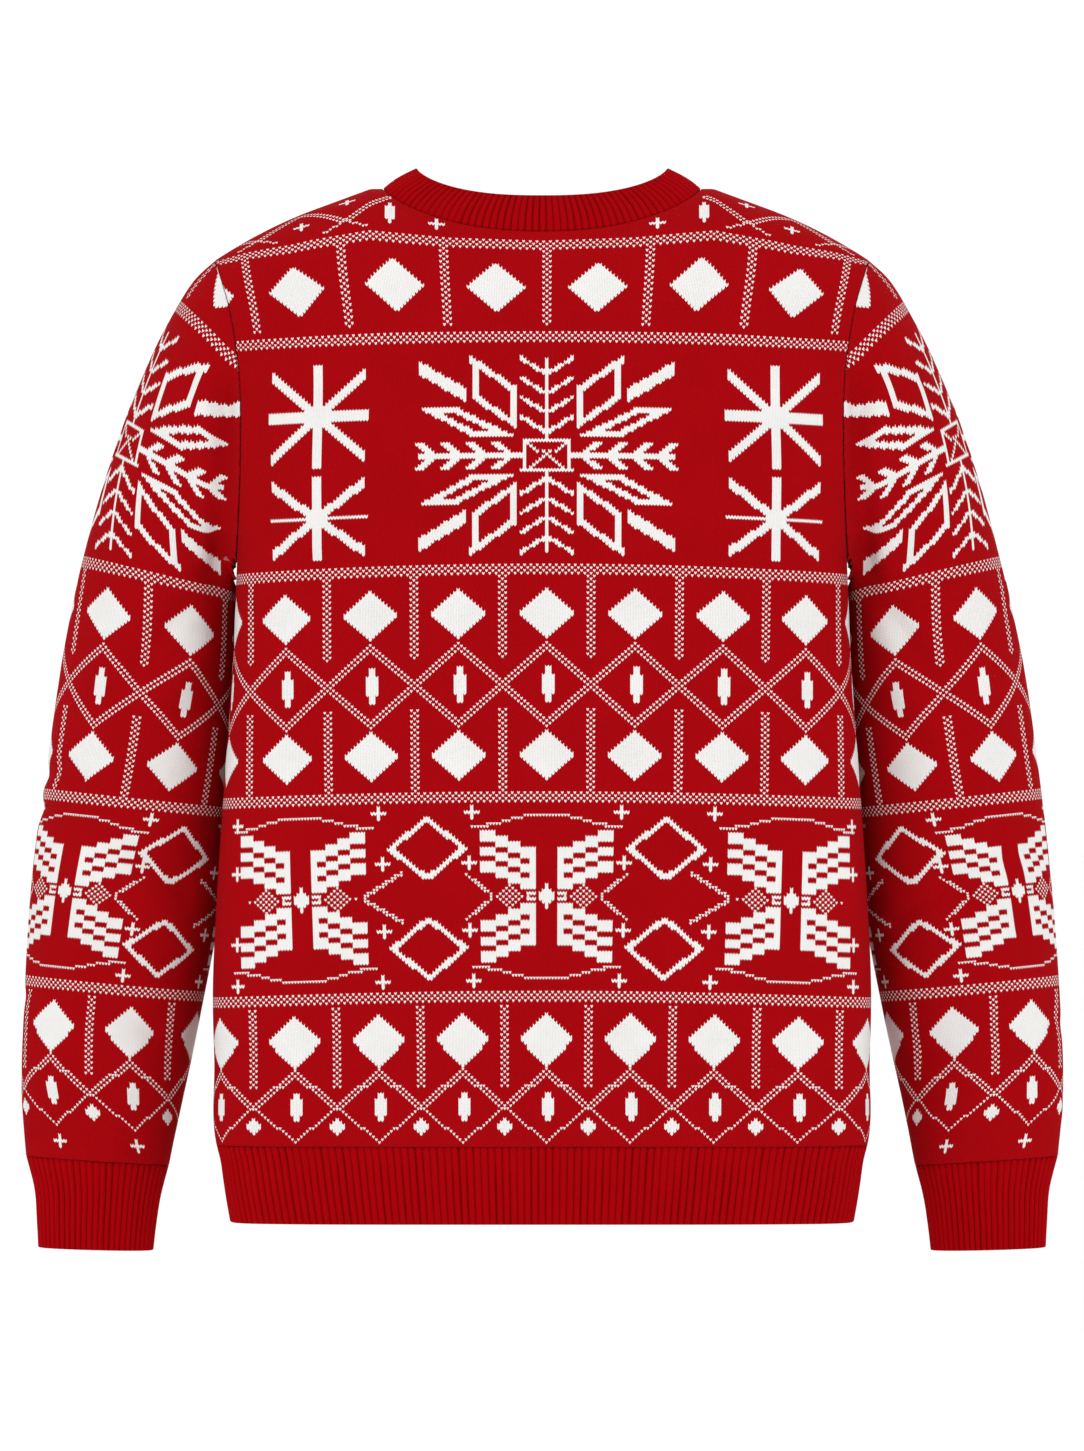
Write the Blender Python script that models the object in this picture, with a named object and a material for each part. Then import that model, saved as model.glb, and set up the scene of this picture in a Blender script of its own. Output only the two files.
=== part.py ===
"""A filled-out christmas sweater as nine sewn pieces of cloth.

Millimetres. The origin is the middle of the neck base, level with the top of
the shoulder seams. +Z is up, the back of the sweater faces -Y, its front +Y.

Body: at height z the outside of the back is
    y = -B(z) * roll(x, z) * (1 - c(z) * (|x| / edge(z)) ** n) ** (1 / n)
and the front is the same with its own B and n and the other sign. edge(z) is
the side seam below the underarm and the armhole above it. c is 1 at the side
seam, so that the section closes there, and falls above the underarm, so that
the panel's edge stands off by the armhole's depth. roll takes the cloth over
the shoulder to nothing at the shoulder seam.

Sleeve: rings from an inner to an outer point, the first of them the armhole.
"""
import bpy
import numpy as np

WALL, RIB_WALL = 2.0, 3.0
GAP = 0.3
COLUMNS = 22          # faces across a panel
SHOULDER = 4          # of them, faces along each shoulder seam
ARM = 20              # faces round a sleeve
NECK_X, TIP_X, TIP_Z = 105.0, 215.0, -50.0
UNDERARM_Z = -262.0
HEM_Z, BOTTOM_Z = -633.0, -684.0

# half width of the body at its side seams (armhole above the underarm)
EDGE = {"z":    [-684, -670, -657, -643, -633, -577, -538, -472, -396, -300, -262, -230, -180, -120, -85, -50],
        "half": [205.5, 208, 210, 212, 214.5, 216, 217, 214.5, 209.5, 203, 201.5, 199.5, 197.5, 199, 204.5, 215]}
# how far the middle of the back and the front stand from the seam plane
DEPTH = {"z":     [-684, -633, -540, -450, -350, -250, -150, -50, 20],
         "back":  [72, 77, 74, 70, 71, 76, 80, 78, 76],
         "front": [94, 100, 99, 100, 105, 110, 108, 100, 96]}
SHAPE = {"back":  dict(side=-1, n=4.4, stand=0.80, roll_mid=112.0, bend=(2.3, 3.2), drop=30.0, low=2.2, flat=0.75),
         "front": dict(side=1, n=2.9, stand=0.60, roll_mid=235.0, bend=(2.0, 2.8), drop=84.0, low=2.3, flat=0.60)}
ARM_MID = (TIP_Z + UNDERARM_Z) / 2
ARM_HALF = (TIP_Z - UNDERARM_Z) / 2

# sleeve rings below the armhole, +X side: outer and inner point, half depth, middle y
RINGS = [
    # out_x, out_z, in_x, in_z, depth, mid_y, square
    (229.0,  -63.0, 203.4, -260.0, 63.0,  2.0, 2.7),
    (247.0,  -92.0, 204.6, -261.0, 63.0,  7.0, 2.5),
    (269.0, -138.0, 204.9, -264.5, 62.0, 15.0, 2.3),
    (288.0, -191.0, 204.8, -271.5, 60.5, 24.0, 2.15),
    (304.0, -247.5, 205.0, -284.0, 59.0, 32.0, 2.05),
    (316.0, -300.0, 206.0, -321.0, 57.5, 38.0, 2.0),
    (328.0, -379.5, 211.0, -396.0, 55.0, 42.0, 2.0),
    (338.0, -459.0, 216.4, -472.0, 51.5, 43.0, 2.0),
    (343.5, -538.0, 226.5, -549.0, 45.5, 42.0, 2.0),
    (345.0, -604.0, 240.0, -613.0, 37.0, 40.0, 2.0),
    (342.0, -642.0, 247.2, -648.0, 30.0, 39.0, 2.0),
]
CUFF = [
    (341.0, -643.5, 248.0, -649.5, 29.6, 39.0, 2.0),
    (336.5, -664.0, 252.6, -669.0, 27.0, 39.0, 2.0),
    (335.0, -684.0, 255.6, -688.0, 26.3, 39.0, 2.0),
    (334.0, -703.0, 257.6, -705.0, 26.0, 39.0, 2.0),
]


def smooth(xs, ys, at):
    """A cubic through the points, its slope at each one the chord of its neighbours."""
    xs, ys = np.asarray(xs, float), np.asarray(ys, float)
    at = np.clip(np.asarray(at, float), xs[0], xs[-1])
    slope = np.gradient(ys, xs, axis=0)
    i = np.clip(np.searchsorted(xs, at, side="right") - 1, 0, len(xs) - 2)
    h = xs[i + 1] - xs[i]
    t = (at - xs[i]) / h
    if ys.ndim == 2:
        h, t = h[..., None], t[..., None]
    return ((1 + 2 * t) * (1 - t) ** 2 * ys[i] + t * (1 - t) ** 2 * h * slope[i]
            + t * t * (3 - 2 * t) * ys[i + 1] + t * t * (t - 1) * h * slope[i + 1])


def edge(z):
    return smooth(EDGE["z"], EDGE["half"], z)


def ridge(x):
    """Height of the shoulder seam, level across the neck."""
    x = np.abs(x)
    return (-0.37 * np.maximum(x - NECK_X, 0) - 0.0022 * np.maximum(x - 150, 0) ** 2)


def neckline(x, shape):
    t = np.clip(np.abs(x) / NECK_X, 0, 1)
    return -3.0 - shape["drop"] * (1 - t ** shape["low"]) ** shape["flat"]


def top(x, shape):
    """The panel's top edge: the shoulder seam, and the neckline inside it."""
    outside = np.minimum(ridge(x), -3.0 + 0 * x)
    return np.where(np.abs(x) >= NECK_X - 1e-6, outside, neckline(x, shape))


def depth(x, z, which):
    """Distance of the outside from the seam plane."""
    shape = SHAPE[which]
    n = shape["n"]
    half = edge(np.minimum(z, TIP_Z))
    share = np.clip(np.abs(x) / half, 0, 1)
    low = np.clip((ARM_MID - z) / ARM_HALF, 0, 1)
    stand = shape["stand"] * np.sqrt(1 - low ** 2)
    c = 1 - stand ** n
    section = np.maximum(1 - c * share ** n, 0) ** (1 / n)
    reach = shape["roll_mid"] + (ARM_HALF - shape["roll_mid"]) * share ** 2
    down = np.clip((np.minimum(ridge(x), -3.0) - z) / reach, 0, 1)
    m = shape["bend"][0] + (shape["bend"][1] - shape["bend"][0]) * share ** 2
    roll = (1 - (1 - down) ** m) ** (1 / m)
    return smooth(DEPTH["z"], DEPTH[which], z) * roll * section


def spread(z, which, count):
    """x of the columns at height z, closer together where the section turns."""
    half = float(edge(z))
    t = np.linspace(-1, 1, 2001)
    x = half * np.sin(t * np.pi / 2)
    y = depth(x, np.full_like(x, z), which)
    dx, dy = np.diff(x), np.diff(y)
    turn = np.abs(np.diff(np.unwrap(np.arctan2(dy, dx)), prepend=0.0))
    turn[0] = 0
    far = np.concatenate([[0], np.cumsum(np.hypot(dx, dy) + 45 * turn)])
    return np.interp(np.linspace(0, far[-1], count + 1), far, x)


def panel_rows(which):
    """Outside points of a panel, row 0 at the top and the last at the hem seam."""
    shape = SHAPE[which]
    top_x = np.concatenate([np.linspace(-TIP_X, -NECK_X, SHOULDER + 1)[:-1],
                            NECK_X * np.sin(np.linspace(-1, 1, COLUMNS - 2 * SHOULDER + 1) * np.pi / 2),
                            np.linspace(NECK_X, TIP_X, SHOULDER + 1)[1:]])
    rows = []
    for k in range(ARM // 2 + 1):
        z = ARM_MID + ARM_HALF * np.cos(np.pi * k / (ARM // 2))
        w = (z - UNDERARM_Z) / (TIP_Z - UNDERARM_Z)
        x = w * top_x * (float(edge(z)) / TIP_X) + (1 - w) * spread(z, which, COLUMNS)
        high = UNDERARM_Z + (top(x if k else top_x, shape) - UNDERARM_Z) * w
        if k:       # rows below the top follow its shape less and less
            soft = UNDERARM_Z + (TIP_Z - UNDERARM_Z) * w
            high = soft + (high - soft) * w
            high[[0, -1]] = z
        rows.append((x if k else top_x, high))
    for z in np.linspace(UNDERARM_Z, HEM_Z, 11)[1:]:
        rows.append((spread(z, which, COLUMNS), np.full(COLUMNS + 1, z)))
    points = np.array([np.stack([x, shape["side"] * depth(x, z, which), z], -1) for x, z in rows])
    points[0, :SHOULDER + 1, 1] = 0
    points[0, -SHOULDER - 1:, 1] = 0
    points[ARM // 2:, [0, -1], 1] = 0
    return points


def normals(points, round_it=False):
    """Unit normals of a grid of points, by the chords of the neighbours."""
    if round_it:
        across = np.roll(points, -1, 1) - np.roll(points, 1, 1)
    else:
        across = np.gradient(points, axis=1)
    down = np.gradient(points, axis=0)
    n = np.cross(across, down)
    size = np.linalg.norm(n, axis=-1, keepdims=True)
    return n / np.maximum(size, 1e-9)


def shell(name, outer, inner, round_it, color):
    """A closed body between two grids of points, walls joined round the rims."""
    rows, cols = outer.shape[:2]
    verts = np.concatenate([outer.reshape(-1, 3), inner.reshape(-1, 3)]) / 1000.0
    a = np.arange(rows * cols).reshape(rows, cols)
    b = a + rows * cols
    span = range(cols) if round_it else range(cols - 1)
    faces = []
    for i in range(rows - 1):
        for j in span:
            k = (j + 1) % cols
            faces.append((a[i, j], a[i + 1, j], a[i + 1, k], a[i, k]))
            faces.append((b[i, j], b[i, k], b[i + 1, k], b[i + 1, j]))
    for j in span:
        k = (j + 1) % cols
        faces.append((a[0, j], a[0, k], b[0, k], b[0, j]))
        faces.append((a[-1, j], b[-1, j], b[-1, k], a[-1, k]))
    if not round_it:
        for i in range(rows - 1):
            faces.append((a[i, 0], b[i, 0], b[i + 1, 0], a[i + 1, 0]))
            faces.append((a[i, -1], a[i + 1, -1], b[i + 1, -1], b[i, -1]))
    p = verts[np.array(faces)]
    volume = np.einsum("ij,ij->i", p[:, 0], np.cross(p[:, 1], p[:, 2]) + np.cross(p[:, 2], p[:, 3])).sum()
    if volume < 0:
        faces = [f[::-1] for f in faces]
    mesh = bpy.data.meshes.new(name)
    mesh.from_pydata(verts.tolist(), [], [tuple(int(v) for v in f) for f in faces])
    mesh.validate()
    thing = bpy.data.objects.new(name, mesh)
    bpy.context.scene.collection.objects.link(thing)
    material = bpy.data.materials.new(name + "_cloth")
    material.use_nodes = True
    shader = material.node_tree.nodes["Principled BSDF"]
    shader.inputs["Base Color"].default_value = (*color, 1)
    shader.inputs["Roughness"].default_value = 0.9
    mesh.materials.append(material)
    return thing


def slope_normals(p, which):
    """Normals of y = depth(x, z), from its slopes over half a millimetre inwards."""
    x, z = p[..., 0], p[..., 2]
    here = depth(x, z, which)
    inward = np.where(x > 0, -0.5, 0.5)
    dx = (depth(x + inward, z, which) - here) / inward
    dz = (here - depth(x, z - 0.5, which)) / 0.5
    n = np.stack([-dx, SHAPE[which]["side"] + 0 * x, -dz], -1)
    return n / np.linalg.norm(n, axis=-1, keepdims=True)


def facing(points, n, centre):
    """The normals turned to point away from the axis through the centre."""
    out = points - centre
    return n * np.sign(np.einsum("ijk,ijk->ij", n, out))[..., None]


def seam_side(points, n, which):
    """Where two panels meet, both are turned the same way."""
    n = n.copy()
    last = ARM // 2
    for j, side in ((0, -1), (-1, 1)):
        rows = slice(last, None)
        n[rows, j] = (side, 0, 0)
    for j in list(range(SHOULDER + 1)) + list(range(-SHOULDER - 1, 0)):
        x = points[0, j, 0]
        slope = float(ridge(abs(x) + 1) - ridge(abs(x) - 1)) / 2
        v = np.array([-slope * np.sign(x), 0, 1])
        n[0, j] = v / np.linalg.norm(v)
    return n


def level(n):
    """The same normals without their height."""
    n = n * (1, 1, 0)
    return n / np.linalg.norm(n, axis=-1, keepdims=True)


def shrink_at_seams(outer, inner, which):
    """Moves the side and shoulder rims back from the seam plane by half the gap."""
    side = SHAPE[which]["side"]
    for grid in (outer, inner):
        near = side * grid[..., 1] < GAP / 2
        grid[..., 1] = np.where(near, side * GAP / 2, grid[..., 1])
    return outer, inner


RED, WHITE = (0.40, 0.004, 0.006), (0.88, 0.86, 0.84)
for thing in list(bpy.data.objects):
    bpy.data.objects.remove(thing)

armhole = {}
neck = {}
hem = {}
for which in ("back", "front"):
    p = panel_rows(which)
    n = slope_normals(p, which)
    n = seam_side(p, n, which)
    n[-1] = level(n[-1])
    seam_normal = n[-1]
    q = p - WALL * n
    armhole[which] = (p[:ARM // 2 + 1], q[:ARM // 2 + 1], n[:ARM // 2 + 1])
    neck[which] = (p[0, SHOULDER:COLUMNS - SHOULDER + 1].copy(), q[0, SHOULDER:COLUMNS - SHOULDER + 1].copy())
    outer, inner = shrink_at_seams(p.copy(), q.copy(), which)
    shell(which + "_panel", outer, inner, False, RED)

    # hem rib: the same section drawn in, its own wall
    rows = []
    for z in (HEM_Z - GAP, -648.0, -666.0, BOTTOM_Z):
        x = spread(z, which, COLUMNS)
        rows.append(np.stack([x, SHAPE[which]["side"] * depth(x, np.full_like(x, z), which), np.full_like(x, z)], -1))
    p = np.array(rows)
    p[:, [0, -1], 1] = 0
    n = facing(p, normals(p), np.array([0, 0, -660.0]))
    n[:, 0], n[:, -1] = (-1, 0, 0), (1, 0, 0)
    n[0] = seam_normal
    outer, inner = shrink_at_seams(p, p - RIB_WALL * n, which)
    shell("hem_rib_" + which, outer, inner, False, RED)


def ring(spec, side):
    """One ring of a sleeve, from the outer point round by the back."""
    ox, oz, ix, iz, half, mid, square = spec
    phi = 2 * np.pi * np.arange(ARM) / ARM
    power = np.where(np.cos(phi) > 0, square, 2.0)
    wide = np.sign(np.sin(phi)) * (1 - np.abs(np.cos(phi)) ** power) ** (1 / power)
    cx, cz = (ox + ix) / 2, (oz + iz) / 2
    ax, az = (ox - ix) / 2, (oz - iz) / 2
    return np.stack([side * (cx + ax * np.cos(phi)), mid - half * wide, cz + az * np.cos(phi)], -1)


for name, side, j in (("left", -1, 0), ("right", 1, -1)):
    def around(part):
        back, front = armhole["back"][part][:, j], armhole["front"][part][:, j]
        return np.concatenate([back, front[-2:0:-1]])
    first, first_in = around(0), around(1)
    rings = [ring(r, side) for r in RINGS]
    along = np.roll(first, -1, 0) - np.roll(first, 1, 0)
    away = np.cross(along, around(2))
    away /= np.linalg.norm(away, axis=-1, keepdims=True)
    away *= 1.4 * GAP * np.sign(away[0, 0] * side)
    p = np.array([first + away] + rings)
    axis = np.array([[side * (r[0] + r[2]) / 2, r[5], (r[1] + r[3]) / 2] for r in ((TIP_X, TIP_Z, 201.5, UNDERARM_Z, 60, 0, 2),) + tuple(RINGS)])
    n = normals(p, True)
    out = p - axis[:, None]
    n = n * np.sign(np.einsum("ijk,ijk->ij", n, out))[..., None]
    q = p - WALL * n
    q[0] = first_in + away
    wrist = n[-1]
    shell("sleeve_" + name, p, q, True, RED)

    cuff = np.array([ring(r, side) for r in CUFF])
    cuff[0] = rings[-1] + (cuff[1] - rings[-1]) / np.linalg.norm(cuff[1] - rings[-1], axis=-1, keepdims=True) * GAP
    axis = np.array([[side * (r[0] + r[2]) / 2, r[5], (r[1] + r[3]) / 2] for r in CUFF])
    n = normals(cuff, True)
    n = n * np.sign(np.einsum("ijk,ijk->ij", n, cuff - axis[:, None]))[..., None]
    n[0] = wrist
    shell("cuff_" + name, cuff, cuff - RIB_WALL * n, True, RED)

# neckband: from the neck seam up and in
back, front = neck["back"], neck["front"]
base = np.concatenate([back[0], front[0][-2:0:-1]])
base_in = np.concatenate([back[1], front[1][-2:0:-1]])
middle = np.abs(base[:, 0]) / NECK_X
behind = base[:, 1] < 0
rise = np.where(behind, 25.0, 20.0) * (1 - middle ** 2) + 14.0 * middle ** 2
lean = np.where(behind, 0.74, 0.80)
crest = np.stack([base[:, 0] * 82.5 / NECK_X, base[:, 1] * lean, base[:, 2] + rise], -1)
levels = []
for t in (0.0, 0.35, 0.7, 1.0):
    bulge = 2.2 * np.sin(np.pi * t)
    flat_out = base * np.array([1, 1, 0])
    flat_out /= np.linalg.norm(flat_out, axis=-1, keepdims=True)
    levels.append(base + (crest - base) * t + flat_out * bulge)
band = np.array(levels)
step = (band[1] - band[0]) / np.linalg.norm(band[1] - band[0], axis=-1, keepdims=True)
band[0] = base + step * 1.6 * GAP
n = normals(band, True)
n = n * np.sign(np.einsum("ijk,ijk->ij", n, band - np.array([0, 8.0, -70.0])))[..., None]
inside = band - RIB_WALL * n
inside[0] = base_in + step * 1.6 * GAP
shell("neckband", band, inside, True, RED)
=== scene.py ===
"""A two colour winter pullover: knitted panels, sleeves, ribs and collar, on its fixed frame."""

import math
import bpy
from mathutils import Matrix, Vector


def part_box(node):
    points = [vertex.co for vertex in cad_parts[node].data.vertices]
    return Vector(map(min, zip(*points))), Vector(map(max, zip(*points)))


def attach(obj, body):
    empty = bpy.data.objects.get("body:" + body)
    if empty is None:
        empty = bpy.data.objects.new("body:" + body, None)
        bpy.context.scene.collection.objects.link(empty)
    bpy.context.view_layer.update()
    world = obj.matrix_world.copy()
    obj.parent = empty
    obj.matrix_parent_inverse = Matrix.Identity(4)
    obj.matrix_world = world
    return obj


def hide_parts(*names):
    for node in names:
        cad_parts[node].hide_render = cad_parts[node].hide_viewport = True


bl_info = {
    "name": "Two colour winter pullover",
    "version": (1, 0, 0),
    "blender": (4, 5, 0),
    "location": "3D View > Sidebar > Pullover",
    "description": "Knits the panels, sleeves and ribs of a pullover on its frame",
    "category": "Add Mesh",
}

import bpy
import numpy as np

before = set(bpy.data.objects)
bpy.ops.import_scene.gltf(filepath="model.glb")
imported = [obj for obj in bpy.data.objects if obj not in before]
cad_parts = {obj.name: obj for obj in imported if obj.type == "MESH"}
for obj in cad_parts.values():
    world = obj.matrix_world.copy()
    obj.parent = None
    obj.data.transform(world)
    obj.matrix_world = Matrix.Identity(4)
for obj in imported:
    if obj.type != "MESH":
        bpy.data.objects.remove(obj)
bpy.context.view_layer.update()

# ---------------------------------------------------------------- the cut, in mm
LOW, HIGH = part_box("back_panel")
PER_MM = (HIGH[0] - LOW[0]) / 433.6        # metres for each mm of the cut
GAP = 0.3                                  # left open at every seam
WALL, RIB_WALL = 2.0, 3.0
NECK_X, NECK_Z = 105.0, -3.0               # where the shoulder seam meets the neckband
TIP_Z = -50.0                # where it meets the armhole
UNDERARM_Z, HEM_Z, BOTTOM_Z = -262.0, -633.0, -684.0
ARM_MID, ARM_HALF = -156.0, 106.0
EDGE = ([-684, -670, -657, -643, -633, -577, -538, -472, -396, -300, -262, -230, -180, -120, -85, -50],
        [205.5, 208, 210, 212, 214.5, 216, 217, 214.5, 209.5, 203, 201.5, 199.5, 197.5, 199, 204.5, 215])
DEPTH_Z = [-684, -633, -540, -450, -350, -250, -150, -50, 20]
DEPTH = {"back": [72, 77, 74, 70, 71, 76, 80, 78, 76], "front": [94, 100, 99, 100, 105, 110, 108, 100, 96]}
SHAPE = {"back": dict(side=-1, n=4.4, stand=0.80, roll=112.0, bend=(2.3, 3.2), drop=30.0, low=2.2, flat=0.75),
         "front": dict(side=1, n=2.9, stand=0.60, roll=235.0, bend=(2.0, 2.8), drop=84.0, low=2.3, flat=0.60)}
# rings of a sleeve: outer x, outer z, inner x, inner z, half depth, middle y, squareness
RINGS = np.array([
    (229, -63, 203.4, -260, 63, 2, 2.7), (247, -92, 204.6, -261, 63, 7, 2.5),
    (269, -138, 202.4, -264.5, 62, 15, 2.3), (288, -191, 201.4, -271.5, 60.5, 24, 2.15),
    (304, -247.5, 201.1, -284, 59, 32, 2.05), (316, -300, 201.8, -321, 57.5, 38, 2),
    (328, -379.5, 207.2, -396, 55, 42, 2), (338, -459, 212.6, -472, 51.5, 43, 2),
    (343.5, -538, 226.5, -549, 45.5, 42, 2), (345, -604, 240, -613, 37, 40, 2),
    (342, -642, 247.2, -648, 30, 39, 2)])
CUFF = np.array([(341.9, -642.4, 247.3, -648.4, 29.9, 39), (336.5, -664, 252.6, -669, 27, 39),
                 (335, -684, 255.6, -688, 26.3, 39), (334, -703, 257.6, -705, 26, 39)])
SLEEVE_END = -648.0                        # height of a sleeve's lowest row

# ---------------------------------------------------------------- stitches and rows
HALF = 132                                 # stitches from the middle of a panel to its side seam
PANEL_ROWS, SLEEVE_ROWS = 368, 324
SLEEVE_FRONT, SLEEVE_BACK = 120, 84
SLEEVE_START = 11                          # rows knitted above the cuff before the chart begins
PITCH = 28.0                               # stitches from one diamond to the next
CHEST_Z, CHEST_ROW, YOKE_ROW = -103, 292, 326
OVER_ROW = 1.82                            # mm for each row over the shoulder
CORE = 4                                   # stitches outside for each face inside
KNIT_UV = 0.8                              # share of the flat map that the outside takes
RIB_ROW, RIM = 1.9, 1.5
ROW_AT = ([-633, -534.6, -404, -254.8, CHEST_Z, -42.6], [0, 53, 124, 206, CHEST_ROW, YOKE_ROW])
WIDE_AT = ([-633, -560, -500, -400, -287, -200, -103, -43, 0], [1.95, 1.96, 2.0, 2.05, 2.07, 2.08, 2.08, 2.19, 2.2])
DROOP_AT = ([-633, -534.6, -404, -254.8, -103, 0], [0, 4.6, 4.6, 7, 6, 6])
YOKE_AT = ([0, 60, 113, 150, 163, 190, 215], [-42.6, -40.5, -35.5, -42, -45, -49, -55])
ARM_HEIGHTS = [-642, -526, -402.6, -249, -80.5, -50]
SLANT_AT = (ARM_HEIGHTS, [0.07, 0.092, 0.101, 0.223, 0.94, 1.1])
ARM_ROW_AT = (ARM_HEIGHTS, [0, 64, 135, 217, 303, 322])
ARM_MIDDLE_AT = ([-642, -558, -467, -383, -285, -180, -80, -50], [38, 39, 47, 56, 56, 38, 30, 28])
ARM_WIDE_AT = ([-642, -558, -467, -383, -285, -50], [1.90, 1.97, 2.02, 2.07, 2.15, 2.15])


# ---------------------------------------------------------------- the stage, in metres and mm
FLOOR_Z, VIEW_Z, SENSOR = -1.0, -0.357, 36.0


# ---------------------------------------------------------------- the plain form
def smooth(xs, ys, at):
    """A cubic through the points; its slope at each is the chord of its neighbours."""
    xs, ys = np.asarray(xs, float), np.asarray(ys, float)
    at = np.clip(np.asarray(at, float), xs[0], xs[-1])
    slope = np.gradient(ys, xs, axis=0)
    i = np.clip(np.searchsorted(xs, at, side="right") - 1, 0, len(xs) - 2)
    h = xs[i + 1] - xs[i]
    t = (at - xs[i]) / h
    if ys.ndim == 2:
        h, t = h[..., None], t[..., None]
    return ((1 + 2 * t) * (1 - t) ** 2 * ys[i] + t * (1 - t) ** 2 * h * slope[i]
            + t * t * (3 - 2 * t) * ys[i + 1] + t * t * (t - 1) * h * slope[i + 1])


def edge(z):
    """Half width of a panel at height z."""
    return smooth(*EDGE, z)


def ridge(x):
    """Height of the shoulder seam: a slope from the neck, steeper past 150 mm."""
    x = np.abs(x)
    return -0.37 * np.maximum(x - NECK_X, 0) - 0.0022 * np.maximum(x - 150, 0) ** 2


def top(x, shape):
    """The panel's top edge: the shoulder seam, and inside it a scooped neckline."""
    t = np.clip(np.abs(x) / NECK_X, 0, 1)
    neck = NECK_Z - shape["drop"] * (1 - t ** shape["low"]) ** shape["flat"]
    return np.where(np.abs(x) >= NECK_X - 1e-6, np.minimum(ridge(x), NECK_Z), neck)


def depth(x, z, which, rolled=True):
    """Distance from the seam plane: a squared oval in plan, bent in over the shoulders."""
    shape = SHAPE[which]
    n = shape["n"]
    share = np.clip(np.abs(x) / edge(np.minimum(z, TIP_Z)), 0, 1)
    low = np.clip((ARM_MID - z) / ARM_HALF, 0, 1)
    stand = shape["stand"] * np.sqrt(1 - low ** 2)
    section = np.maximum(1 - (1 - stand ** n) * share ** n, 0) ** (1 / n)
    deep = smooth(DEPTH_Z, DEPTH[which], z) * section
    if not rolled:
        return deep
    reach = shape["roll"] + (ARM_HALF - shape["roll"]) * share ** 2
    down = np.clip((np.minimum(ridge(x), NECK_Z) - z) / reach, 0, 1)
    m = shape["bend"][0] + (shape["bend"][1] - shape["bend"][0]) * share ** 2
    return deep * (1 - (1 - down) ** m) ** (1 / m)


def fade(t):
    """0 below 0, 1 above 1, an S between."""
    t = np.clip(t, 0, 1)
    return t * t * (3 - 2 * t)


def way_along(line):
    """Distance along a line of points, counted from its first."""
    return np.concatenate([[0], np.cumsum(np.linalg.norm(np.diff(line, axis=0), axis=-1))])


def at_way(at, way, line):
    """The points of a line at the given distances along it."""
    return np.stack([np.interp(at, way, line[:, k]) for k in range(line.shape[1])], -1)


def creases(x, z, folds):
    """Sum of soft ridges and troughs: each a bell across its line, dying out at both ends."""
    out = np.zeros(np.broadcast(x, z).shape)
    for x0, z0, x1, z1, wide, high in folds:
        dx, dz = x1 - x0, z1 - z0
        long = math.hypot(dx, dz)
        along = ((x - x0) * dx + (z - z0) * dz) / long
        off = ((x - x0) * dz - (z - z0) * dx) / long
        off = off + 0.12 * wide * np.sin(along / (1.7 * wide))
        out += high * np.exp(-(off / wide) ** 2) * fade(1.4 * along / wide) * fade(1.4 * (long - along) / wide)
    return out


FOLDS = {
    "back": [(-199, -112, -176, -235, 9, -2.4), (-186, -128, -150, -250, 14, 1.6), (198, -120, 168, -250, 12, -1.6),
             (150, -120, 120, -270, 22, 1.2), (-190, -262, -120, -330, 16, 1.5), (188, -268, 118, -352, 18, -1.4),
             (-120, -560, -150, -640, 20, 1.2), (95, -590, 150, -470, 26, 1.3), (-60, -400, 40, -440, 30, 0.9),
             (30, -600, -20, -500, 24, -0.9), (-100, -90, -60, -190, 24, 0.9), (110, -300, 60, -420, 28, -1.0)],
    "front": [(-196, -110, -150, -250, 14, -2.8), (196, -115, 150, -240, 13, -2.4), (-170, -250, -60, -340, 20, 2.0),
              (170, -260, 60, -360, 20, 2.0), (-80, -560, -30, -430, 26, 1.8), (90, -600, 50, -470, 26, -1.8),
              (0, -250, 10, -420, 34, 1.5), (-130, -420, -90, -600, 24, -1.6), (150, -420, 110, -560, 22, 1.6)]}
ARM_FOLDS = {
    "left": [(215, -262, 275, -330, 8, -3.0), (210, -300, 265, -362, 9, 2.4), (228, -470, 338, -398, 8, -2.4),
             (300, -395, 345, -372, 7, -2.6), (218, -425, 300, -420, 10, 1.8), (250, -560, 345, -520, 9, -2.0),
             (245, -600, 345, -585, 9, 1.6), (262, -632, 340, -622, 6, -1.4), (230, -150, 262, -300, 14, 1.5)],
    "right": [(214, -266, 268, -345, 8, -3.0), (212, -320, 270, -372, 10, 2.2), (226, -488, 335, -430, 9, -2.0),
              (224, -520, 320, -505, 10, 1.8), (246, -575, 346, -540, 9, -1.8), (250, -612, 346, -600, 8, 1.4),
              (240, -140, 268, -290, 14, 1.4)]}


def drape(x, z, which):
    """How far the cloth stands out from the plain form, nothing at the seams."""
    wave = 0.7 * np.sin(x / 61 + 1.3) * np.sin(z / 83 + 0.4) + 0.45 * np.sin(x / 33 - z / 71)
    share = np.abs(x) / edge(np.minimum(z, TIP_Z))
    hold = fade((1 - share) * 9) * fade((z - HEM_Z) / 26) * fade((top(x, SHAPE[which]) - z) / 30)
    return (wave + creases(x, z, FOLDS[which])) * hold


# ---------------------------------------------------------------- the chart, in stitches and rows
def seeded(u, v):
    """Every other stitch, staggered from row to row."""
    return (np.floor(u) + np.floor(v)) % 2 < 1


def lozenge(u, v, c, r, a, b):
    """A diamond: the distances from its middle, each over its half size, add to less than one."""
    return np.abs(u - c) / a + np.abs(v - r) / b <= 1


def four_sided(u, v, corners, rim):
    """The rim of a four-cornered shape, its corners given anticlockwise."""
    inside = np.full(u.shape, 1e9)
    for (a, b), (c, d) in zip(corners, corners[1:] + corners[:1]):
        long = math.hypot(c - a, d - b)
        inside = np.minimum(inside, ((c - a) * (v - b) - (d - b) * (u - a)) / long)
    return (inside > 0) & (inside < rim)


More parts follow.
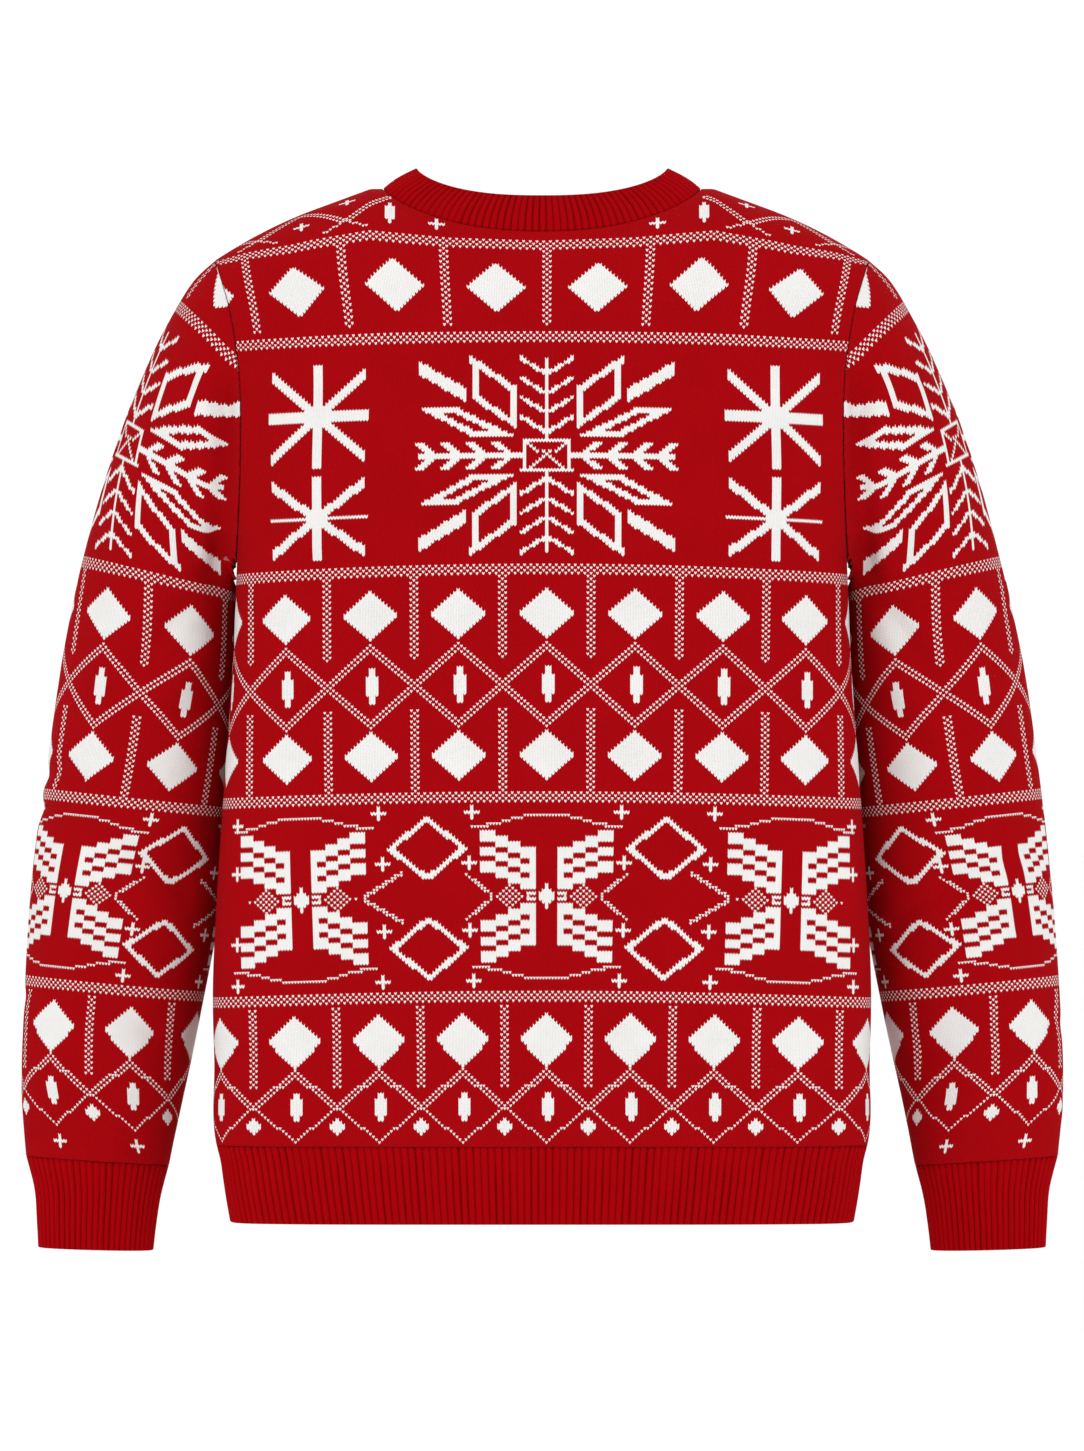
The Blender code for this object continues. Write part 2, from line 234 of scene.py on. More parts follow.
def repeat(u, pitch=PITCH):
    """u counted from the nearest multiple of the pitch."""
    return (u + pitch / 2) % pitch - pitch / 2


def lattice(u, v, middle, high, low):
    """Zigzags that cross at the middle: double above it, single below."""
    share = 1 - np.abs(repeat(u)) / (PITCH / 2)
    up = middle + high * share - v
    down = v - (middle - low * share)
    return (np.abs(np.abs(up) - 0.9) < 0.5) | (np.abs(down) < 0.5)


def spindle(u, v, r, thin, thick):
    """A slim upright bar with a wider middle, once in each pitch."""
    a, b = np.abs(repeat(u - 0.5)), np.abs(v - r)
    return ((a < 1) & (b < thin)) | ((a < 2) & (b < thick))


def posts(u, v, first, pitch, low, high):
    """Upright seeded bars three stitches wide."""
    a = np.abs(repeat(u - first, pitch))
    return (a < 1.5) & (v > low) & (v < high) & seeded(u - first, v)


def crosses(u, v, places):
    """Small even crosses, five stitches each way, on both sides of the middle."""
    out = np.zeros(u.shape, bool)
    for c, r in places:
        a, b = np.abs(np.abs(u) - c), np.abs(v - r)
        out |= ((a < 0.6) & (b < 2.2)) | ((a < 2.2) & (b < 0.6))
    return out


def winged(u, v, c, r):
    """A winged motif: four stepped strips each side, barred in white, round a small diamond.

    Each strip is as high as the last and starts two rows further out; a spine joins its bars.
    """
    a, b = np.abs(u - c), np.abs(v - r)
    strip = np.clip(np.floor((a - 4.3) / 4.2), 0, 3)
    q = b - (3.0 + 2.0 * strip)
    bars = (q < 3.5) | (np.abs(q - 7) < 1.5) | (q > 10.5) | (a < 5.2)
    wing = bars & (q > -0.5) & (q < 14.5) & (a > 3.4) & (a < 21.2)
    thread = (np.abs(b - 1) < 0.6) & (a > 3) & (a < 6.5)
    return wing | lozenge(u, v, c, r, 2.9, 4.4) | thread


def snow(u, v, r):
    """A snow crystal with four barbed arms and eight petals, the same in all four quarters."""
    a, b = np.abs(u), np.abs(v - r)
    box = ((np.abs(a - 7) < 0.9) & (b < 6)) | ((np.abs(b - 5.6) < 0.6) & (a < 7.8))
    inner = (np.abs(a - b * 1.3) < 1.1) & (b < 5.6) & seeded(u, v)
    stems = ((a < 1.0) & (b > 5) & (b < 36)) | ((b < 0.9) & (a > 7) & (a < 41))
    up = np.zeros(u.shape, bool)
    for k in range(4):
        up |= (np.abs(b - (8.4 + 7.2 * k + 0.72 * a)) < 0.8) & (a < 8.2)
        up |= (np.abs(a - (11 + 8.1 * k + 1.05 * b)) < 1.4) & (b < 4.9)
    petals = four_sided(a, b, [(9.3, 9.5), (23.2, 20.8), (24.2, 37.2), (9.6, 25.2)], 2.1)
    petals |= four_sided(a, b, [(9.6, 6.7), (23.2, 6.9), (40.8, 18.2), (28.6, 18.0)], 2.1)
    tips = (np.abs(b - 22.2 - 0.68 * (a - 25)) < 2.5) & (a > 25.3) & (a < 40.6)
    return box | inner | stems | up | petals | tips


def rays(u, v, c, r, wide, high, flat, slope, thin):
    """An eight-rayed star, its slanting rays cut upright at their ends."""
    a, b = np.abs(u - c), np.abs(v - r)
    out = (a < 1.2 + 0.03 * b) & (b < high)
    out |= (b < (0.6 if thin else 1.6)) & (a < wide)
    out |= (np.abs(b - slope * a) < 1.7 + 0.02 * a) & (a < flat)
    return out | ((a + b) < 4.4)


def chart(u, v, apart=38.5, stars=True):
    """1 where a white stitch shows whole, 0.5 where it shows as a dot, 0 where the ground does.

    u counts stitches from the middle and v rows from the hem. apart is how far the open diamonds
    stand from the middle.
    """
    d = np.abs(u)
    bands = [np.abs(v - r) < 2.0 for r in (53, 124, 206, 292, 326)]
    dots = np.any(bands, axis=0) & seeded(u, v)

    low = (v > 0) & (v < 51)
    a, b = np.abs(repeat(u - PITCH / 2)), np.abs(v - 7)
    star = ((a < 0.8) & (b < 3.2)) | ((a < 2.6) & (b < 1.2)) | ((a < 1.4) & (b < 1.9))
    white = low & (lozenge(repeat(u), v, 0, 37.6, 9.0, 9.4) | spindle(u, v, 14, 5.2, 2.9) | star)
    dots |= low & (posts(u, v, PITCH / 2, PITCH, 20.5, 50.4) | lattice(u, v, 14, 12.3, 12.3))

    winged_band, heart = (v > 55.4) & (v < 121.6), 88.5
    motif = winged(u, v, 0, heart) | winged(d, v, 80, heart)
    for r in (105.7, 70.2):
        motif |= lozenge(d, v, apart, r, 13.2, 11.6) & ~lozenge(d, v, apart, r, 10.7, 9.4)
    motif |= crosses(u, v, [(24, 118.5), (24, 58.5), (54, 118.5), (54, 58.5), (25, 100.5), (25, 76.5),
                            (53, 100.5), (53, 76.5), (103, 115.5), (103, 98.5), (103, 73.5), (103, 58.5)])
    white |= winged_band & motif
    bend = np.abs(v - heart)
    for start, turn in ((17, 27), (60, 46.5)):
        along = (d - start) / (turn - start)
        dots |= winged_band & (np.abs(bend - 9 * along) < 0.7) & (along > 0) & (along < 1)
    off = np.minimum(d, np.abs(d - 80))
    arcs = (np.abs(bend - 25.3 - 4.0 * fade((22 - off) / 20)) < 0.55) & (off < 25)
    dots |= winged_band & (arcs | (lozenge(off, v, 12, heart, 6.4, 4.2) & seeded(u, v)))

    waist = (v > 126) & (v < 204)
    white |= waist & (lozenge(repeat(u), v, 0, 139, 9.0, 9.4) | lozenge(repeat(u), v, 0, 190, 9.0, 9.4)
                      | spindle(u, v, 164.4, 6.5, 3.4))
    zig = PITCH / 2 - np.abs(repeat(u))
    dots |= waist & (posts(u, v, PITCH / 2, PITCH, 126.4, 156.5) | posts(u, v, PITCH / 2, PITCH, 174, 204)
                     | (np.abs(np.abs(np.abs(v - 164.5) - zig) - 0.9) < 0.5))

    chest, figures = (v > 208.4) & (v < 289.6), snow(u, v, 248)
    if stars:
        figures |= rays(d, v, 73, 264, 16.6, 19.4, 15.2, 0.98, False)
        figures |= rays(d, v, 73, 226.4, 16.4, 15.4, 15.6, 0.84, True)
    white |= chest & figures

    white |= (v > 294) & (v < 324) & lozenge(repeat(d - 15.5, 31.0), v, 0, 309.4, 9.0, 9.2)
    dots |= (v > 294) & (v < 324) & posts(u, v, 0, 31.0, 296, 324.5)

    yoke = v > YOKE_ROW + 2
    dots |= yoke & (v > 330) & (d > 46) & lattice(d - 46.5, v, 334.5, 13, 9)
    white |= yoke & (d > 40) & (d < 55) & spindle(d - 46.5, v, 337.5, 5.2, 3.2)
    white |= yoke & crosses(u, v, [(33, 333.5), (74, 336.5), (60, 347.5)])
    return np.where(white, 1.0, np.where(dots, 0.5, 0.0))


# ---------------------------------------------------------------- grids of points
def between(table, levels, z):
    """Each column of the table read at the heights z of the same column."""
    i = np.clip(np.searchsorted(levels, z) - 1, 0, len(levels) - 2)
    f = np.clip((z - levels[i]) / (levels[i + 1] - levels[i]), 0, 1)
    c = np.arange(table.shape[1])
    return table[i, c] * (1 - f) + table[i + 1, c] * f


def panel_grid(which):
    """Points of a panel, a row of stitches to each row of the grid.

    A column line keeps its share of the way round from the middle to the side seam, and from the
    underarm up it rises by its own stitches until the armhole cuts it. A row is as far up the
    line as the row table says, then one row after another over the shoulder.
    """
    levels = np.concatenate([np.linspace(HEM_Z, -90, 273), np.linspace(-90, 0, 121)[1:]])
    t = np.arange(HALF + 1) / HALF
    quarter = np.sin(np.linspace(0, np.pi / 2, 700))
    table = np.empty((len(levels), HALF + 1))
    wide = smooth(*WIDE_AT, levels)

    def around(z):
        x = float(edge(min(z, TIP_Z))) * quarter
        return x, way_along(np.stack([x, depth(x, np.full_like(x, z), which, rolled=False)], -1))

    full = around(UNDERARM_Z)[1][-1]
    w0 = float(smooth(*WIDE_AT, UNDERARM_Z))
    start = full * (t + (w0 * HALF / full - 1) * (t - t ** 5))
    for i, z in enumerate(levels):
        x, arc = around(z)
        if z <= UNDERARM_Z:
            s = arc[-1] * (t + (wide[i] * HALF / arc[-1] - 1) * (t - t ** 5))
        else:
            s = start * wide[i] / w0
        table[i] = np.interp(s, arc, x)
    summit = np.full(HALF + 1, NECK_Z)
    for _ in range(40):
        summit = 0.5 * summit + 0.5 * top(between(table, levels, summit[None])[0], SHAPE[which])
    f = 1 - (1 - np.linspace(0, 1, 800)) ** 2
    z = HEM_Z + (summit - HEM_Z) * f[:, None]
    x = between(table, levels, z)
    step = np.linalg.norm(np.diff(np.stack([x, depth(x, z, which), z]), axis=1), axis=0)
    arc = np.concatenate([np.zeros((1, HALF + 1)), np.cumsum(step, axis=0)])
    fall = (x / 205) ** 2
    rows = np.interp(z + smooth(*DROOP_AT, z) * fall, *ROW_AT)
    out = np.empty((PANEL_ROWS + 1, HALF + 1))
    count = np.arange(PANEL_ROWS + 1)
    for c in range(HALF + 1):
        way = arc[:, c]
        chest = np.interp(CHEST_Z - 6 * fall[-1, c], z[:, c], way)
        yoke = min(np.interp(x[-200, c], *YOKE_AT), summit[c])
        over = max(np.interp(yoke, z[:, c], way), chest + 1)
        up = CHEST_ROW + (YOKE_ROW - CHEST_ROW) * (way - chest) / (over - chest)
        up = np.where(way > over, YOKE_ROW + (way - over) / OVER_ROW, up)
        row = np.where(way < chest, np.minimum(rows[:, c], CHEST_ROW), up)
        out[:, c] = np.interp(count, np.maximum.accumulate(row) + way * 1e-7, z[:, c])
    x = between(table, levels, out)
    side = SHAPE[which]["side"]
    x = np.concatenate([-x[:, :0:-1], x], 1) * -side
    z = np.concatenate([out[:, :0:-1], out], 1)
    y = side * np.maximum(depth(x, z, which), GAP / 2)
    return np.stack([x, y, z], -1)


def panel_normals(p, which):
    """Outward directions, from the slopes of the depth over half a millimetre inwards."""
    x, z = p[..., 0], p[..., 2]
    here = depth(x, z, which)
    inward = np.where(x > 0, -0.5, 0.5)
    dx = (depth(x + inward, z, which) - here) / inward
    dz = (here - depth(x, z - 0.5, which)) / 0.5
    n = np.stack([-dx, SHAPE[which]["side"] + 0 * x, -dz], -1)
    n[0, :, 2] = 0
    return n / np.linalg.norm(n, axis=-1, keepdims=True)


def ring(spec, c, wide):
    """Round a sleeve from its outer point to its inner one, level lines tipped, and back."""
    ox, oz, ix, iz, half, mid = spec
    return np.stack([(ox + ix) / 2 + (ox - ix) / 2 * c, mid - half * wide, (oz + iz) / 2 + (oz - iz) / 2 * c], -1)


def tube(phi):
    """Points of a sleeve's form from the armhole to the cuff, and the middle of each ring."""
    c = np.cos(phi)
    z = ARM_MID + ARM_HALF * c
    back, front = -depth(edge(z) + 0.42, z, "back"), depth(edge(z) + 0.42, z, "front")
    rings = [np.stack([edge(z) + 0.42, np.where(phi <= np.pi, back, front), z], -1)]
    for row in RINGS:
        power = np.where(c > 0, row[6], 2.0)
        wide = np.sign(np.sin(phi)) * np.maximum(1 - np.abs(c) ** power, 0) ** (1 / power)
        rings.append(ring(row[:6], c, wide))
    knots = np.array(rings)
    far = way_along(knots.mean(1))
    along = np.concatenate([np.linspace(a, b, 31)[:-1] for a, b in zip(far, far[1:])] + [[far[-1]]])
    points = smooth(far, knots.reshape(len(knots), -1), along).reshape(len(along), len(phi), 3)
    return points, points.mean(1)


def sleeve_grid(side):
    """Points of a sleeve, its rows on slanting level lines and its columns by way round.

    A point's row is found from the height at which its slanting line leaves the outer edge. Columns
    count from the middle of the chart, which lies a little to the back of that edge, and end at the
    armhole or at the underarm line.
    """
    phi = np.linspace(0, 2 * np.pi, 721)
    points, middle = tube(phi)
    rim = points[:, 0]
    lo, hi = np.full(points.shape[:2], -720.0), np.full(points.shape[:2], -20.0)
    for _ in range(34):                    # halving the span of heights each time
        at = (lo + hi) / 2
        outer = np.interp(at, rim[::-1, 2], rim[::-1, 0])
        more = at - np.interp(at, *SLANT_AT) * (outer - points[..., 0]) > points[..., 2]
        hi, lo = np.where(more, at, hi), np.where(more, lo, at)
    rows = np.interp(lo, [-720] + ARM_ROW_AT[0] + [-20], [-43] + ARM_ROW_AT[1] + [341])
    count = np.arange(SLEEVE_ROWS + 1)
    number = np.arange(points.shape[0], dtype=float)
    place = np.stack([np.interp(count, rows[::-1, c], number[::-1]) for c in range(len(phi))], 1)
    place[0] = number[-1]
    i = np.clip(place.astype(int), 0, len(number) - 2)
    f = (place - i)[..., None]
    c = np.arange(len(phi))
    skin = points[i, c] * (1 - f) + points[i + 1, c] * f
    heart = middle[i] * (1 - f) + middle[i + 1] * f
    heights = np.interp(count, ARM_ROW_AT[1], ARM_ROW_AT[0])
    end = np.interp(-count, -rows[0, :361], phi[:361])
    u = np.arange(-SLEEVE_FRONT, SLEEVE_BACK + 1)
    p = np.empty((len(count), len(u), 3))
    out = np.empty_like(p)
    for j in count:
        turn = end[j] * np.linspace(-1, 1, 801) % (2 * np.pi)
        line, core = at_way(turn, phi, skin[j]), at_way(turn, phi, heart[j])
        arc = way_along(line)
        arc -= arc[400]
        s = float(smooth(*ARM_MIDDLE_AT, heights[j])) + u * float(smooth(*ARM_WIDE_AT, heights[j]))
        p[j] = at_way(s, arc, line)
        out[j] = p[j] - at_way(s, arc, core)
    out /= np.maximum(np.linalg.norm(out, axis=-1, keepdims=True), 1e-6)
    x, y, z = p[..., 0], p[..., 1], p[..., 2]
    wave = 0.5 * np.sin(z / 37 + 2 * side) * np.sin(x / 29)
    past = x - edge(z)
    free = np.where(z < UNDERARM_Z, fade((UNDERARM_Z - z) / 30), fade((past - 2) / 16))
    hold = fade((z - SLEEVE_END) / 22) * free * fade((past - 6) / 22)
    lift = (wave + creases(x, z + 0.25 * y, ARM_FOLDS["left" if side < 0 else "right"])) * hold
    beside = x - edge(np.clip(z, UNDERARM_Z, TIP_Z))
    tuck = -10.0 * np.exp(-((beside - 9) / 10) ** 2) * fade(beside / 7) * fade((-95 - z) / 60)
    tuck = tuck * fade((z + 300) / 60) * fade(-y / 25)
    p = p + out * (lift + tuck)[..., None]
    inner = (p - (WALL - 0.8 * tuck)[..., None] * out)[::CORE, ::CORE]
    turned = np.array([side, 1, 1])
    if side > 0:
        return p[:, ::-1] * turned, inner[:, ::-1] * turned, u[::-1], end
    return p * turned, inner * turned, u, end


# ---------------------------------------------------------------- meshes
def knit_mesh(name, points, corners, marks, uv):
    """A mesh from lists of three- and four-cornered faces.

    Points that lie together are made one, and a face that has lost a corner by it keeps the rest;
    a face with fewer than three is left out.
    """
    key = np.round(points * 40).astype(np.int64)
    key = (key[:, 0] * 200003 + key[:, 1]) * 200003 + key[:, 2]
    _, first, where = np.unique(key, return_index=True, return_inverse=True)
    points = points[first]
    loops, sizes, face_marks, face_uv = [], [], [], []
    for f, m, t in zip(corners, marks, uv):
        f = where.reshape(-1)[f]
        keep = f != np.roll(f, -1, 1)
        ok = keep.sum(1) >= 3
        if f.shape[1] == 4:
            ok &= (f[:, 0] != f[:, 2]) & (f[:, 1] != f[:, 3])
        keep = keep & ok[:, None]
        loops.append(f[keep])
        face_uv.append(t[keep])
        sizes.append(keep.sum(1)[ok])
        face_marks.append(m[ok])
    loops, sizes = np.concatenate(loops), np.concatenate(sizes)
    marks, flat = np.concatenate(face_marks), np.concatenate(face_uv)
    mesh = bpy.data.meshes.new(name)
    mesh.vertices.add(len(points))
    mesh.vertices.foreach_set("co", (points * PER_MM).astype(np.float32).ravel())
    mesh.loops.add(len(loops))
    mesh.loops.foreach_set("vertex_index", loops.astype(np.int32))
    mesh.polygons.add(len(sizes))
    mesh.polygons.foreach_set("loop_start", (np.cumsum(sizes) - sizes).astype(np.int32))
    mesh.update(calc_edges=True)
    mesh.polygons.foreach_set("use_smooth", np.ones(len(sizes), bool))
    layer = mesh.uv_layers.new(name="OFBake")
    layer.data.foreach_set("uv", flat.astype(np.float32).ravel())
    for k, title in enumerate(("yarn_here", "yarn_below", "inside")):
        layer = mesh.attributes.new(title, "FLOAT", "FACE")
        layer.data.foreach_set("value", marks[:, k].astype(np.float32))
    mesh.validate(clean_customdata=False)
    if len(mesh.polygons) < 0.99 * len(sizes):
        raise RuntimeError(name + ": the mesh lost faces")
    thing = bpy.data.objects.new(name, mesh)
    bpy.context.scene.collection.objects.link(thing)
    return thing


def double_knit(name, outer, inner, white, open_rows):
    """Two layers of one cloth: fine stitches outside, a coarse layer inside, walls round the rims.

    inner has one point for each CORE of outer's. open_rows marks the rows whose two ends are free.
    """
    rows, cols = outer.shape[:2]
    a = np.arange(rows * cols).reshape(rows, cols)
    b = rows * cols + np.arange(inner.shape[0] * inner.shape[1]).reshape(inner.shape[:2])
    quads = np.stack([a[:-1, :-1], a[:-1, 1:], a[1:, 1:], a[1:, :-1]], -1).reshape(-1, 4)
    below = np.concatenate([white[:1], white[:-1]])
    marks = np.stack([white.ravel(), below.ravel(), 0 * white.ravel()], -1).astype(float)
    j, i = np.meshgrid(np.arange(rows - 1), np.arange(cols - 1), indexing="ij")
    square = np.array([(0, 0), (1, 0), (1, 1), (0, 1)])
    at = np.stack([i.ravel(), j.ravel()], -1)[:, None] + square
    uv = at / (cols - 1, rows - 1) * (KNIT_UV, 1.0)
    inside = np.stack([b[:-1, :-1], b[1:, :-1], b[1:, 1:], b[:-1, 1:]], -1).reshape(-1, 4)
    j, i = np.meshgrid(np.arange(b.shape[0] - 1), np.arange(b.shape[1] - 1), indexing="ij")
    at = np.stack([i.ravel(), j.ravel()], -1)[:, None] + np.array([(0, 0), (0, 1), (1, 1), (1, 0)])
    uv_in = (0.82, 0) + at / (b.shape[1] - 1, b.shape[0] - 1) * (0.18, 1.0)
    walls, wall_uv = [], []
    for line, core, flip, mask in ((a[:, 0], b[:, 0], True, open_rows), (a[:, -1], b[:, -1], False, open_rows),
                                   (a[0], b[0], False, None), (a[-1], b[-1], True, None)):
        n = (len(line) - 1) // CORE
        o = [line[k::CORE][:n] for k in range(CORE + 1)]
        c0, c1 = core[:n], core[1:n + 1]
        tri = np.stack([np.stack(t, -1) for t in ((o[0], c0, o[1]), (o[1], c0, o[2]), (o[2], c0, c1),
                                                  (o[2], c1, o[3]), (o[3], c1, o[4]))], 1)
        if mask is not None:
            tri = tri[mask[CORE::CORE][:n] | mask[:-1:CORE][:n]]
        tri = tri.reshape(-1, 3)
        walls.append(tri[:, ::-1] if flip else tri)
        wall_uv.append(np.tile([(0.805, 0.0), (0.815, 0.0), (0.81, 1.0)], (len(tri), 1, 1)))
    walls, wall_uv = np.concatenate(walls), np.concatenate(wall_uv)
    points = np.concatenate([outer.reshape(-1, 3), inner.reshape(-1, 3)])
    plain = np.array([0.0, 0.0, 1.0])
    return knit_mesh(name, points, [quads, inside, walls],
                     [marks, np.tile(plain, (len(inside), 1)), np.tile((0.0, 0.0, 0.0), (len(walls), 1))],
                     [uv, uv_in, wall_uv])


def rib_mesh(name, spine, out, ribs, closed, seed, groove, fading):
    """A ribbed band with a rounded free edge.

    spine is the plain outside, its columns where rib_places says, and out its outward directions. A
    groove is a narrow bell between two ribs, each of its own depth, and fading is the share of it
    that some lose towards the seam. The wall is carried round: up the outside, over the free edge,
    and back down the inside.
    """
    rng = np.random.default_rng(seed)
    across = rib_places(ribs, closed)
    deep = groove * (0.65 + 0.7 * rng.random(ribs + 1))
    deep[-1] = deep[0] if closed else deep[-1]
    near = np.round(across).astype(int)
    bell = np.exp(-((across - near) / 0.17) ** 2)
    level = np.linspace(0, 1, spine.shape[0])[:, None]
    fades = (rng.random(ribs + 1) > 0.45)[near % (ribs + 1)]
    sink = bell * deep[near % (ribs + 1)] * (1 - fading * fade((0.45 - level) / 0.45) * fades)
    if not closed:
        sink = sink * np.clip(np.minimum(across, ribs - across), 0.1, 1)
    crown = 0.25 * (1 - np.cos(2 * np.pi * across)) / 2
    outside = spine - out * (sink - crown + 0.25)[..., None]
    inside = spine - out * (RIB_WALL - 0.5 * sink)[..., None]
    along = spine[-1] - spine[-2]
    along /= np.linalg.norm(along, axis=-1, keepdims=True)
    turn = []
    for angle, back in ((0.25, 0.12), (0.5, 0), (0.75, 0.12)):
        reach = RIB_WALL / 2 - np.cos(np.pi * angle) * (RIB_WALL / 2 - 0.4)
        turn.append(spine[-1] - out[-1] * reach + along * (np.sin(np.pi * angle) * 0.01 - RIM * back))
    outside[-1] -= along * RIM * 0.55
    inside[-1] -= along * RIM * 0.55
    loop = np.concatenate([outside, np.array(turn), inside[::-3], inside[:1]])
    rows, cols = loop.shape[:2]
    a = np.arange(rows * cols).reshape(rows, cols)
    a = np.concatenate([a, a[:1]])
    if closed:
        a = np.concatenate([a, a[:, :1]], 1)
    quads = np.stack([a[:-1, :-1], a[1:, :-1], a[1:, 1:], a[:-1, 1:]], -1).reshape(-1, 4)
    f = loop.reshape(-1, 3)[quads]
    square = np.cross(f[:, 1] - f[:, 0], f[:, 2] - f[:, 0]) + np.cross(f[:, 2] - f[:, 0], f[:, 3] - f[:, 0])
    room = np.einsum("ij,ij->i", f[:, 0] - loop.mean((0, 1)), square).sum()
    way = np.concatenate([[0], np.cumsum(np.linalg.norm(np.diff(loop, axis=0), axis=-1).mean(1))])
    way = np.append(way, way[-1] + RIB_WALL)
    n, m = a.shape[0] - 1, a.shape[1] - 1
    j, i = np.meshgrid(np.arange(n), np.arange(m), indexing="ij")
    j, i = j.ravel()[:, None] + np.array([0, 1, 1, 0]), i.ravel()[:, None] + np.array([0, 0, 1, 1])
    place = np.append(across, ribs) if closed else across
    uv = np.stack([place[i] / ribs, way[j] / way[-1]], -1)
    inner = np.repeat((np.arange(n) >= outside.shape[0] + len(turn)).astype(float), m)
    marks = np.stack([0 * inner, 0 * inner, inner], -1)
    faces, face_uv, face_marks = [quads], [uv], [marks]
    if not closed:
        for col, turned in ((0, False), (cols - 1, True)):
            steps = col + cols * np.arange(1, rows)
            fan = np.stack([np.full(rows - 2, col), steps[:-1], steps[1:]], -1)
            faces.append(fan[:, ::-1] if turned else fan)
            face_uv.append(np.tile([(0.0, 0.0), (0.004, 0.0), (0.0, 0.004)], (len(fan), 1, 1)))
            face_marks.append(np.zeros((len(fan), 3)))
    if room < 0:
        faces = [f[:, ::-1] for f in faces]
        face_uv = [t[:, ::-1] for t in face_uv]
    return knit_mesh(name, loop.reshape(-1, 3), faces, face_marks, face_uv), way[-1]


def rib_places(ribs, closed):
    """Places of the columns in ribs: close together at each groove, wide apart on the crests."""
    inside = np.array([0.0, 0.09, 0.19, 0.32, 0.5, 0.68, 0.81, 0.91])
    places = (np.arange(ribs)[:, None] + inside).ravel()
    return places if closed else np.append(places, ribs)


# ---------------------------------------------------------------- finishes
def add(tree, kind, **values):
    """A node with its properties; in_ marks an input, by number or name, for a value or a socket."""
    node = tree.nodes.new(kind)
    for key, value in values.items():
        if not key.startswith("in_"):
            setattr(node, key, value)
            continue
        name = key[3:]
        socket = node.inputs[int(name) if name.isdigit() else name.replace("_", " ")]
        if isinstance(value, bpy.types.NodeSocket):
            tree.links.new(value, socket)
        else:
            socket.default_value = value
    return node


def sums(tree, operation, *values):
    """The outcome of one Math node."""
    inputs = {"in_%d" % k: value for k, value in enumerate(values)}
    return add(tree, "ShaderNodeMath", operation=operation, **inputs).outputs[0]


def mix_colour(tree, share, a, b, blend="MIX"):
    """The outcome of one colour Mix node."""
    return add(tree, "ShaderNodeMix", data_type="RGBA", blend_type=blend, in_0=share, in_6=a, in_7=b).outputs[2]


def new_group(name, inputs, outputs):
    """A shader group with its sockets, and what comes into it."""
    group = bpy.data.node_groups.new(name, "ShaderNodeTree")
    for title, kind in inputs:
        group.interface.new_socket(title, in_out="INPUT", socket_type="NodeSocket" + kind)
    for title in outputs:
        group.interface.new_socket(title, in_out="OUTPUT", socket_type="NodeSocketFloat")
    return group, group.nodes.new("NodeGroupInput").outputs


def stitch_group():
    """Knit stitches: a V for each stitch, its colour taken from the row it belongs to.

    Its value swells a white spot in it: none at 0, a small round dot at a half, all of it at 1.
    """
    group, into = new_group("knit_stitches", (("Stitches", "Vector"), ("Here", "Float"), ("Below", "Float")),
                            ("White", "Height", "Hollow"))

    def calc(*values):
        return sums(group, *values)

    u, v = add(group, "ShaderNodeSeparateXYZ", in_0=into["Stitches"]).outputs[:2]
    across = calc("FRACT", u)
    off_u = calc("MULTIPLY_ADD", across, 2.0, -1.0)
    above = calc("SUBTRACT", calc("FRACT", v), calc("MULTIPLY", calc("ABSOLUTE", off_u), 0.62))
    value = add(group, "ShaderNodeMix", in_0=calc("GREATER_THAN", above, 0.0), in_2=into["Below"],
                in_3=into["Here"]).outputs[0]
    along = calc("FRACT", above)
    off_v = calc("MULTIPLY_ADD", along, 2.0, -1.0)
    off = calc("ADD", calc("MULTIPLY", off_u, off_u), calc("MULTIPLY", off_v, off_v))
    leg = calc("SINE", calc("MULTIPLY", calc("FRACT", calc("MULTIPLY", across, 2.0)), math.pi))
    bow = calc("MULTIPLY_ADD", calc("SINE", calc("MULTIPLY", along, math.pi)), 0.5, 0.5)
    height = calc("MULTIPLY", calc("POWER", leg, 0.6), bow)
    # Hollow is a mask of painted shade: it is largest in the hollows between stitches, where the colour is later
    # darkened
    add(group, "NodeGroupOutput", in_White=calc("LESS_THAN", off, calc("MULTIPLY_ADD", value, 4.4, -1.55)),
        in_Height=height, in_Hollow=calc("POWER", calc("SUBTRACT", 1.0, height), 2.0))
    return group


def fuzz_group():
    """Yarn: slow unevenness of the dye, and fine fibres."""
    group, into = new_group("yarn_fuzz", (("Place", "Vector"),), ("Dye", "Fibre"))
    dye, fibre = [add(group, "ShaderNodeTexNoise", in_Vector=into["Place"], in_Scale=size, in_Detail=detail,
                      in_Roughness=0.6).outputs[0] for size, detail in ((26.0, 3.0), (1900.0, 2.0))]
    add(group, "NodeGroupOutput", in_Dye=dye, in_Fibre=fibre)
    return group


